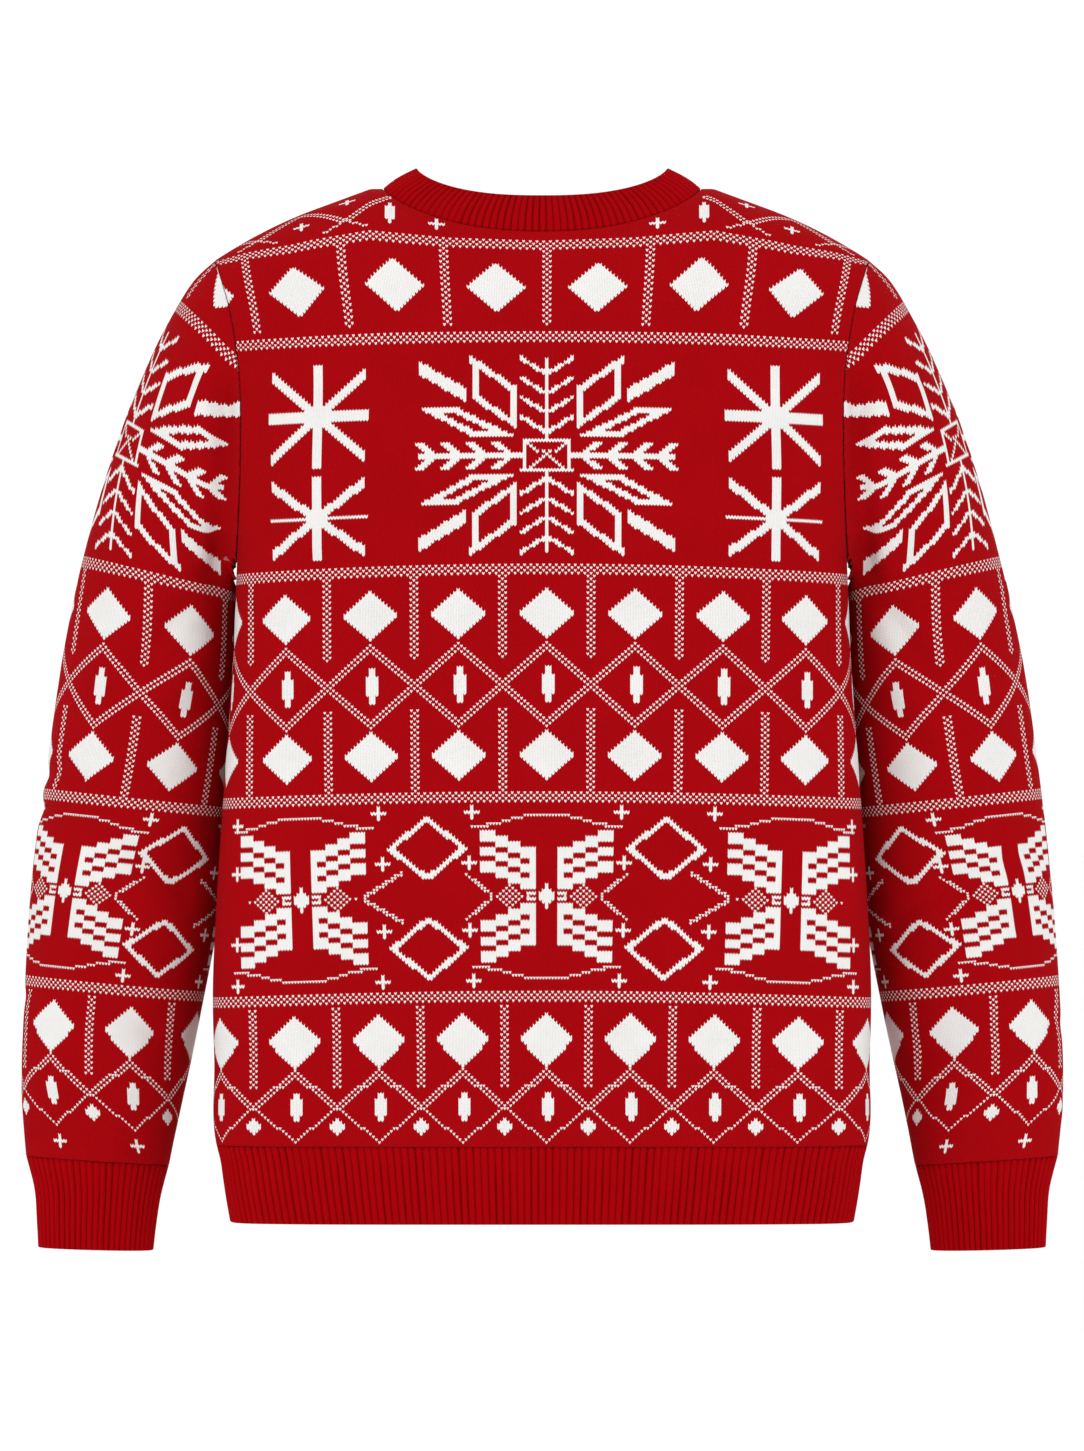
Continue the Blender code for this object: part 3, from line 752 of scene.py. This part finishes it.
def yarn_material(name, red, white, stitches, rows, relief, ribbed=False):
    """Wool: red and white stitches from the face marks, or ribs with painted shade in their grooves; painted shade
    also darkens the hollows between stitches.
    """
    material = bpy.data.materials.new(name)
    material.use_nodes = True
    tree = material.node_tree
    tree.nodes.clear()

    def calc(*values):
        return sums(tree, *values)

    def mark(title):
        return add(tree, "ShaderNodeAttribute", attribute_name=title).outputs["Fac"]

    def shared(title, maker, **inputs):
        made = bpy.data.node_groups.get(title) or maker()
        return add(tree, "ShaderNodeGroup", node_tree=made, **inputs).outputs

    flat = add(tree, "ShaderNodeUVMap", uv_map="OFBake").outputs[0]
    at = add(tree, "ShaderNodeMapping", in_0=flat, in_Scale=(stitches, rows, 1)).outputs[0]
    place = add(tree, "ShaderNodeTexCoord").outputs["Object"]
    knit = shared("knit_stitches", stitch_group, in_Stitches=at, in_Here=mark("yarn_here"),
                  in_Below=mark("yarn_below"))
    fuzz = shared("yarn_fuzz", fuzz_group, in_Place=place)
    base = mix_colour(tree, knit["White"], red, white)
    if ribbed:
        # Painted shade: the grooves between the ribs are darkened towards 0.42 of the rib red, unevenly, on top of
        # their real depth
        way = calc("MULTIPLY_ADD", add(tree, "ShaderNodeSeparateXYZ", in_0=at).outputs[0], 0.5, 0.5)
        off = calc("ABSOLUTE", calc("SUBTRACT", calc("FRACT", way), 0.5))
        groove_shade = add(tree, "ShaderNodeMapRange", interpolation_type="SMOOTHSTEP", in_0=off, in_1=0.03, in_2=0.17,
                   in_3=1.0, in_4=0.0).outputs[0]
        uneven = add(tree, "ShaderNodeTexNoise", in_Vector=place, in_Scale=55.0, in_Detail=2.0).outputs[0]
        much = calc("MULTIPLY", groove_shade, calc("MULTIPLY_ADD", uneven, 0.9, 0.05))
        base = mix_colour(tree, much, base, tuple(c * 0.42 for c in red[:3]) + (1.0,))
    else:
        strands = add(tree, "ShaderNodeTexWave", bands_direction="Y", in_0=flat, in_Scale=260.0, in_Distortion=3.0)
        much = calc("MULTIPLY", calc("MULTIPLY", strands.outputs["Fac"], 0.35), mark("inside"))
        base = mix_colour(tree, much, base, white)
    dye = calc("MULTIPLY_ADD", fuzz["Dye"], 0.16, 0.95)
    dye = calc("MULTIPLY", dye, calc("MULTIPLY_ADD", fuzz["Fibre"], 0.12, 0.94))
    # Painted shade: the colour is darkened by up to 28 percent in the hollows between stitches, times the dye's slow
    # unevenness and the fibres
    shade = calc("MULTIPLY", calc("SUBTRACT", 1.0, calc("MULTIPLY", knit["Hollow"], 0.28)), dye)
    shade_and_dye = add(tree, "ShaderNodeCombineColor", in_0=shade, in_1=shade, in_2=shade).outputs[0]
    height = calc("MULTIPLY_ADD", fuzz["Fibre"], 0.22, knit["Height"])
    bump = add(tree, "ShaderNodeBump", in_Strength=relief, in_Distance=0.0008, in_Height=height).outputs[0]
    skin = add(tree, "ShaderNodeBsdfPrincipled", in_Base_Color=mix_colour(tree, 1.0, base, shade_and_dye, "MULTIPLY"),
               in_Roughness=0.92, in_Specular_IOR_Level=0.015, in_Sheen_Weight=0.004, in_Sheen_Roughness=0.6,
               in_Normal=bump)
    add(tree, "ShaderNodeOutputMaterial", in_0=skin.outputs[0])
    return material


def dress(thing, material, node):
    """Puts the finish on a piece, and the piece on the body in place of its plain solid."""
    thing.data.materials.append(material)
    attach(thing, "root")
    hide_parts(node)


# ---------------------------------------------------------------- settings
def yarn_colour(name, what, default):
    """A colour setting."""
    return bpy.props.FloatVectorProperty(name=name, description="Colour of the " + what, subtype="COLOR", size=4,
                                         default=default + (1.0,), min=0, max=1)


class PulloverYarn(bpy.types.PropertyGroup):
    """The yarns"""
    red: yarn_colour("Red yarn", "ground", (0.362, 0.0018, 0.0042))
    rib_red: yarn_colour("Rib yarn", "ribs", (0.370, 0.0008, 0.0030))
    white: yarn_colour("White yarn", "figures", (0.82, 0.812, 0.795))
    relief: bpy.props.FloatProperty(name="Stitch relief", description="How far the stitches stand up",
                                    default=0.5, min=0, max=1, subtype="FACTOR")


class PulloverRibs(bpy.types.PropertyGroup):
    """The ribs"""
    pitch: bpy.props.FloatProperty(name="Rib pitch", description="From one rib to the next",
                                   default=0.00475, min=0.002, max=0.02, unit="LENGTH")
    groove: bpy.props.FloatProperty(name="Groove depth", description="Depth of the grooves between ribs",
                                    default=0.0012, min=0, max=0.0025, unit="LENGTH")


class PulloverStage(bpy.types.PropertyGroup):
    """The camera and the light"""
    distance: bpy.props.FloatProperty(name="Camera distance", description="From the camera to the pullover",
                                      default=9.0, min=1, max=30, unit="LENGTH")
    tall: bpy.props.FloatProperty(name="View height", description="Height of what the camera sees at the pullover",
                                  default=0.9577, min=0.2, max=4, unit="LENGTH")
    light: bpy.props.FloatProperty(name="Room light", description="Strength of the even light",
                                   default=1.06, min=0, max=4)


# ---------------------------------------------------------------- pieces
class PULLOVER_OT_panels(bpy.types.Operator):
    """Knits the back and the front"""
    bl_idname = "pullover.panels"
    bl_label = "Back and front"

    def execute(self, context):
        yarn = context.scene.pullover_yarn
        material = yarn_material("two_colour_knit", yarn.red, yarn.white, 2 * HALF / KNIT_UV, PANEL_ROWS, yarn.relief)
        for which, size, shift in (("back", (0.530, 0.655), 1.5), ("front", (0.540, 0.665), 0)):
            outer = panel_grid(which)
            n = panel_normals(outer, which)
            outer = outer + n * drape(outer[..., 0], outer[..., 2], which)[..., None]
            side = SHAPE[which]["side"]
            inner = (outer - WALL * n)[::CORE, ::CORE]
            inner[..., 1] = side * np.maximum(side * inner[..., 1], GAP / 2)
            v, u = np.meshgrid(np.arange(PANEL_ROWS) + 0.5, np.arange(2 * HALF) + 0.5 - HALF, indexing="ij")
            free = np.ones(PANEL_ROWS + 1, bool)
            thing = double_knit(which + "_knit", outer, inner, chart(u - shift, v), free)
            dress(thing, material, which + "_panel")
        return {"FINISHED"}


class PULLOVER_OT_sleeves(bpy.types.Operator):
    """Knits the two sleeves"""
    bl_idname = "pullover.sleeves"
    bl_label = "Sleeves"

    def execute(self, context):
        yarn = context.scene.pullover_yarn
        stitches = (SLEEVE_FRONT + SLEEVE_BACK) / KNIT_UV
        material = yarn_material("two_colour_sleeve_knit", yarn.red, yarn.white, stitches, SLEEVE_ROWS, yarn.relief)
        for name, side in (("left", -1), ("right", 1)):
            outer, inner, u, end = sleeve_grid(side)
            rows = np.arange(SLEEVE_ROWS) + 0.5 - SLEEVE_START
            v, u = np.meshgrid(rows, (u[:-1] + u[1:]) / 2.0 - 0.5, indexing="ij")
            low = (v < 0) & crosses(repeat(u), v, [(0, -4.5)])
            white = np.maximum(chart(u, v, apart=35.5, stars=False), low)
            thing = double_knit("sleeve_%s_knit" % name, outer, inner, white, end < math.pi - 1e-3)
            dress(thing, material, "sleeve_" + name)
        return {"FINISHED"}


def across_of(grid, closed):
    """Unit directions square to a grid of points, from the chords of the neighbours."""
    wide = np.roll(grid, -1, 1) - np.roll(grid, 1, 1) if closed else np.gradient(grid, axis=1)
    n = np.cross(wide, np.gradient(grid, axis=0))
    return n / np.maximum(np.linalg.norm(n, axis=-1, keepdims=True), 1e-9)


def away_from(out, grid, middle):
    """The directions turned to point away from the middle."""
    return out * np.sign(np.einsum("ijk,ijk->ij", out, grid - middle))[..., None]


def rib_piece(context, name, node, finish, grid, out, ribs, closed, seed, fading):
    """A ribbed band with its finish, in place of its plain solid."""
    yarn, settings = context.scene.pullover_yarn, context.scene.pullover_ribs
    thing, way = rib_mesh(name, grid, out, ribs, closed, seed, settings.groove * 1000, fading)
    material = yarn_material(finish, yarn.rib_red, yarn.white, 2.0 * ribs, way / RIB_ROW, yarn.relief, True)
    dress(thing, material, node)
    return thing


class PULLOVER_OT_hem(bpy.types.Operator):
    """Knits the two hem ribs"""
    bl_idname = "pullover.hem"
    bl_label = "Hem ribs"

    def execute(self, context):
        pitch = context.scene.pullover_ribs.pitch * 1000
        fine = np.sin(np.linspace(-np.pi / 2, np.pi / 2, 2401))
        for k, which in enumerate(("back", "front")):
            side = SHAPE[which]["side"]
            lines = []
            for z in np.linspace(HEM_Z - GAP, BOTTOM_Z, 17):
                x = float(edge(z)) * fine
                flat = np.full_like(x, z)
                lines.append(np.stack([x, depth(x, flat, which), flat], -1))
            ways = [way_along(line) for line in lines]
            ribs = int(round(ways[0][-1] / pitch))
            share = rib_places(ribs, False) / ribs
            grid = np.array([at_way(share * way[-1], way, line) for way, line in zip(ways, lines)])
            grid[..., 1] = side * np.maximum(grid[..., 1], GAP / 2)
            out = across_of(grid, False)
            out[..., 2] = 0
            out *= np.sign(out[..., 1:2] * side + 1e-9)
            out[:, 0], out[:, -1] = (-1, 0, 0), (1, 0, 0)
            out /= np.linalg.norm(out, axis=-1, keepdims=True)
            name = "hem_rib_" + which
            thing = rib_piece(context, "hem_knit_" + which, name, name, grid, out, ribs, False, 11 + k, 0.6)
            co = np.empty(len(thing.data.vertices) * 3, np.float32)
            thing.data.vertices.foreach_get("co", co)
            co[1::3] = side * np.maximum(side * co[1::3], GAP / 2 * PER_MM)
            thing.data.vertices.foreach_set("co", co)
        return {"FINISHED"}


class PULLOVER_OT_cuffs(bpy.types.Operator):
    """Knits the two cuffs"""
    bl_idname = "pullover.cuffs"
    bl_label = "Cuffs"

    def execute(self, context):
        ribs = 54
        share = rib_places(ribs, True) / ribs
        spec = smooth(np.arange(4), CUFF, np.linspace(0, 3, 17))
        phi = np.linspace(0, 2 * np.pi, 2001)
        lines = ring(spec.T[..., None], np.cos(phi), np.sin(phi))
        grid = np.array([at_way(share * way[-1], way, line) for way, line in zip(map(way_along, lines), lines)])
        out = away_from(across_of(grid, True), grid, grid.mean(1, keepdims=True))
        for name, side in (("left", -1), ("right", 1)):
            turned = np.array([side, 1, 1])
            thing = rib_piece(context, "cuff_knit_" + name, "cuff_" + name, "cuff_rib_" + name, grid * turned,
                              out * turned, ribs, True, 21 + side, 0.5)
        return {"FINISHED"}


class PULLOVER_OT_collar(bpy.types.Operator):
    """Knits the neckband"""
    bl_idname = "pullover.collar"
    bl_label = "Neckband"

    def execute(self, context):
        x = NECK_X * np.sin(np.linspace(-np.pi / 2, np.pi / 2, 1201))
        lines = []
        for which, xs in (("back", x), ("front", x[::-1])):
            z = np.where(np.abs(xs) >= NECK_X - 1e-6, NECK_Z, top(xs, SHAPE[which]))
            lines.append(np.stack([xs, SHAPE[which]["side"] * depth(xs, z, which), z], -1)[:-1])
        loop = np.concatenate(lines + [lines[0][:1]])
        arc = way_along(loop)
        ribs = int(round(arc[-1] / (context.scene.pullover_ribs.pitch * 1000)))
        base = at_way(rib_places(ribs, True) / ribs * arc[-1], arc, loop)
        # the free edge: drawn in towards the middle, and higher behind than in front
        m = np.abs(base[:, 0]) / NECK_X
        behind = base[:, 1] < 0
        rise = np.where(behind, 25.0, 20.0) * (1 - m ** 2) + 14.0 * m ** 2
        lean = np.where(behind, 0.74, 0.80)
        crest = np.stack([base[:, 0] * 82.5 / NECK_X, base[:, 1] * lean, base[:, 2] + rise], -1)
        flat = base * (1, 1, 0)
        flat /= np.linalg.norm(flat, axis=-1, keepdims=True)
        step = (crest - base) / np.linalg.norm(crest - base, axis=-1, keepdims=True)
        grid = np.array([base + (crest - base) * k + flat * 2.2 * np.sin(np.pi * k) + step * 0.48 * (1 - k)
                         for k in np.linspace(0, 1, 15)])
        out = away_from(across_of(grid, True), grid, np.array([0, 8.0, -70.0]))
        thing = rib_piece(context, "neckband_knit", "neckband", "neckband_rib", grid, out, ribs, True, 31, 0.2)
        return {"FINISHED"}


def pale_floor():
    """A wide round floor: rings of a disc, each further out than the last."""
    turn = np.linspace(0, 2 * np.pi, 49)[:-1]
    reach = np.array([0.5, 1.5, 4.0, 12.0, 60.0])[:, None]
    points = np.stack([reach * np.cos(turn), reach * np.sin(turn), np.full((5, 48), FLOOR_Z)], -1)
    a = np.arange(5 * 48).reshape(5, 48)
    b = np.roll(a, -1, 1)
    faces = np.stack([a[:-1], a[1:], b[1:], b[:-1]], -1).reshape(-1, 4).tolist() + [a[0].tolist()]
    mesh = bpy.data.meshes.new("pale_floor")
    mesh.from_pydata(points.reshape(-1, 3).tolist(), [], faces)
    paint = bpy.data.materials.new("pale_floor_paint")
    paint.use_nodes = True
    tree = paint.node_tree
    tree.nodes.clear()
    place = add(tree, "ShaderNodeTexCoord").outputs["Object"]
    grain = add(tree, "ShaderNodeTexNoise", in_Vector=place, in_Scale=3.0).outputs[0]
    colour = mix_colour(tree, grain, (0.95, 0.95, 0.95, 1), (0.97, 0.97, 0.97, 1))
    skin = add(tree, "ShaderNodeBsdfPrincipled", in_Base_Color=colour, in_Roughness=0.9, in_Specular_IOR_Level=0.1)
    add(tree, "ShaderNodeOutputMaterial", in_0=skin.outputs[0])
    mesh.materials.append(paint)
    return bpy.data.objects.new("pale_floor", mesh)


class PULLOVER_OT_stage(bpy.types.Operator):
    """Sets up the pale floor, the soft lights and the camera"""
    bl_idname = "pullover.stage"
    bl_label = "Stage"

    def execute(self, context):
        scene, settings = context.scene, context.scene.pullover_stage
        floor = pale_floor()
        scene.collection.objects.link(floor)
        scene.world = bpy.data.worlds.new("even_room")
        scene.world.use_nodes = True
        room = scene.world.node_tree.nodes["Background"]
        room.inputs[0].default_value = (1, 1, 1, 1)
        room.inputs[1].default_value = settings.light
        for name, spot, power in (("soft_key", (-1.6, -3.6, 1.6), 22), ("soft_fill", (2.2, -3.4, 0.2), 10),
                                  ("soft_back", (1.4, 3.6, 1.8), 16)):
            lamp = bpy.data.lights.new(name, "AREA")
            lamp.energy, lamp.size = power, 2.4
            thing = bpy.data.objects.new(name, lamp)
            aim = np.array([0, 0, VIEW_Z]) - np.array(spot)
            tip, swing = math.acos(-aim[2] / np.linalg.norm(aim)), math.atan2(aim[1], aim[0])
            thing.location, thing.rotation_euler = spot, (tip, 0, swing - math.pi / 2)
            scene.collection.objects.link(thing)
        lens = bpy.data.cameras.new("view")
        lens.sensor_fit, lens.sensor_width, lens.clip_end = "AUTO", SENSOR, 100
        lens.lens = SENSOR * settings.distance / settings.tall
        camera = bpy.data.objects.new("view", lens)
        camera.location, camera.rotation_euler = (0.0, -settings.distance, VIEW_Z), (math.pi / 2, 0, 0)
        scene.collection.objects.link(camera)
        scene.camera = camera
        scene.view_settings.view_transform = "Standard"
        return {"FINISHED"}


class PULLOVER_PT_panel(bpy.types.Panel):
    bl_label = "Pullover"
    bl_space_type = "VIEW_3D"
    bl_region_type = "UI"
    bl_category = "Pullover"

    def draw(self, context):
        for group in (context.scene.pullover_yarn, context.scene.pullover_ribs, context.scene.pullover_stage):
            box = self.layout.box()
            for name in group.bl_rna.properties.keys():
                if name not in ("rna_type", "name"):
                    box.prop(group, name)
        for name in STEPS:
            self.layout.operator(name)


STEPS = ("pullover.panels", "pullover.sleeves", "pullover.hem", "pullover.cuffs", "pullover.collar", "pullover.stage")
CLASSES = (PulloverYarn, PulloverRibs, PulloverStage, PULLOVER_OT_panels, PULLOVER_OT_sleeves, PULLOVER_OT_hem,
           PULLOVER_OT_cuffs, PULLOVER_OT_collar, PULLOVER_OT_stage, PULLOVER_PT_panel)


def register():
    for item in CLASSES:
        bpy.utils.register_class(item)
    bpy.types.Scene.pullover_yarn = bpy.props.PointerProperty(type=PulloverYarn)
    bpy.types.Scene.pullover_ribs = bpy.props.PointerProperty(type=PulloverRibs)
    bpy.types.Scene.pullover_stage = bpy.props.PointerProperty(type=PulloverStage)


def unregister():
    del bpy.types.Scene.pullover_yarn, bpy.types.Scene.pullover_ribs, bpy.types.Scene.pullover_stage
    for item in reversed(CLASSES):
        bpy.utils.unregister_class(item)


def main():
    """Makes every piece in order."""
    register()
    for name in STEPS:
        group, call = name.split(".")
        getattr(getattr(bpy.ops, group), call)()


if __name__ == "__main__":
    main()
